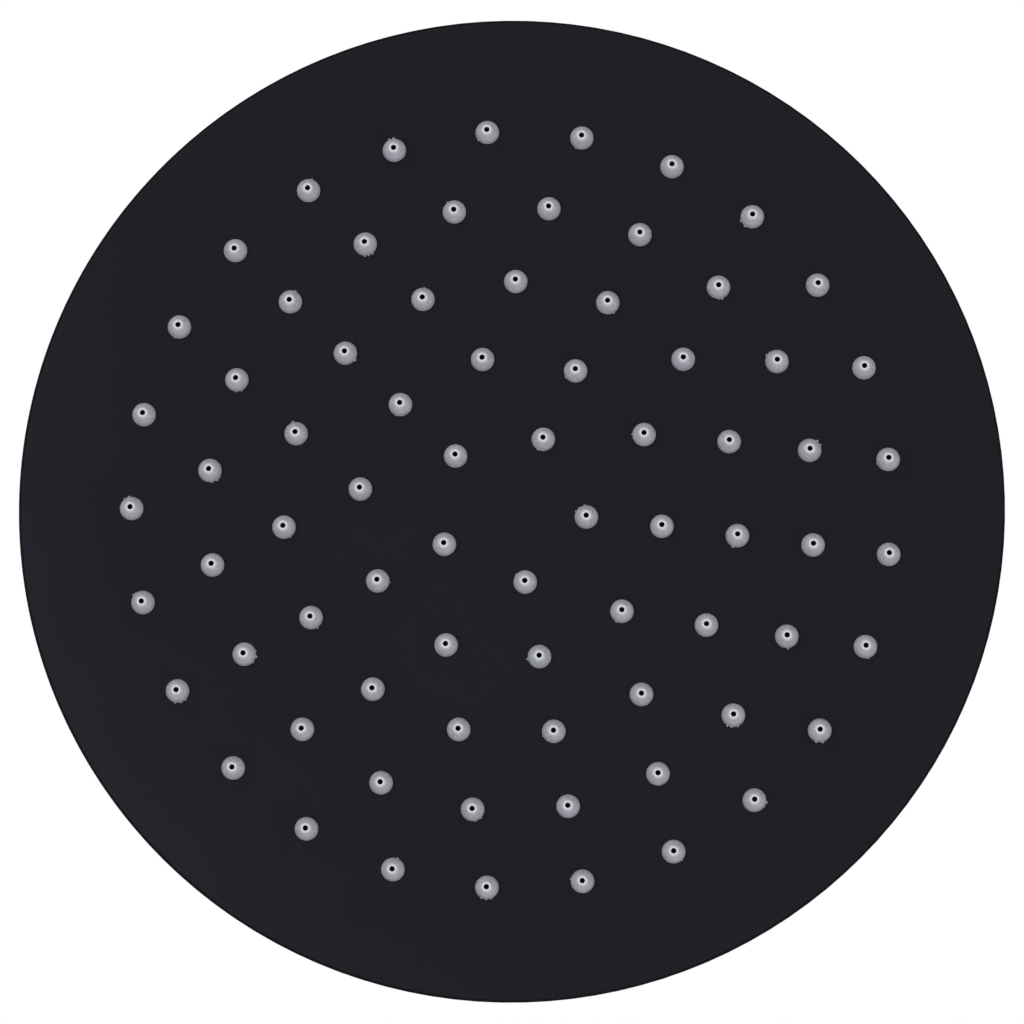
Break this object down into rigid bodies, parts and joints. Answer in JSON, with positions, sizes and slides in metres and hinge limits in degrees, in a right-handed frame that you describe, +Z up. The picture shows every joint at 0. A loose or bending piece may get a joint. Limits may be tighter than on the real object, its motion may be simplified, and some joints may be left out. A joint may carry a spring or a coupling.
{
  "type": "rain shower head",
  "caption": "Slim round rain shower head with a satin black face, soft jet nozzles, a pressed back and a swivel ball joint with a G1/2 socket.",
  "frame": {"origin": "on the axis, at the mouth of the inlet's G1/2 thread", "axes": "+Z up the pipe's axis, out of the inlet; the spray face looks along -Z; +X through one spoke of the nozzle rings"},
  "size_m": [0.2, 0.2, 0.0595],
  "materials": {
    "black_face": "satin black coating on pressed stainless steel",
    "black_pan": "satin black coating on pressed stainless steel",
    "black_joint": "satin black coating on turned metal",
    "nozzle_silicone": "soft grey silicone",
    "black_rubber": "moulded black rubber",
    "steel": "bare stainless steel",
    "seat_plastic": "natural white acetal",
    "regulator_plastic": "ivory moulded acetal",
    "red_rubber": "red silicone"
  },
  "bodies": {
    "inlet": {"ball_stem": "black_joint", "inlet_washer": "black_rubber", "filter_screen": "steel", "regulator_body": "regulator_plastic", "regulator_ring": "red_rubber", "regulator_cap": "regulator_plastic"},
    "seat_ring": {"upper_seat": "seat_plastic"},
    "seal_ring": {"lower_seal": "black_rubber", "backing_washer": "steel"},
    "head": {"face_plate": "black_face", "back_pan": "black_pan", "rim_gasket": "black_rubber", "spacer_studs": "steel", "nozzle_ring_1": "nozzle_silicone", "nozzle_ring_2": "nozzle_silicone", "nozzle_ring_3": "nozzle_silicone", "nozzle_ring_4": "nozzle_silicone", "nozzle_ring_5": "nozzle_silicone", "hub": "black_joint", "retaining_nut": "black_joint"}
  },
  "joints": [
    {"name": "tilt_x", "type": "hinge", "parent": "inlet", "child": "seat_ring", "pos_m": [0, 0, -0.03397], "axis": [1, 0, 0], "range_deg": [-12, 12]},
    {"name": "tilt_y", "type": "hinge", "parent": "seat_ring", "child": "seal_ring", "pos_m": [0, 0, -0.03397], "axis": [0, 1, 0], "range_deg": [-12, 12]},
    {"name": "spin", "type": "hinge", "parent": "seal_ring", "child": "head", "pos_m": [0, 0, -0.03397], "axis": [0, 0, 1], "continuous": true}
  ]
}
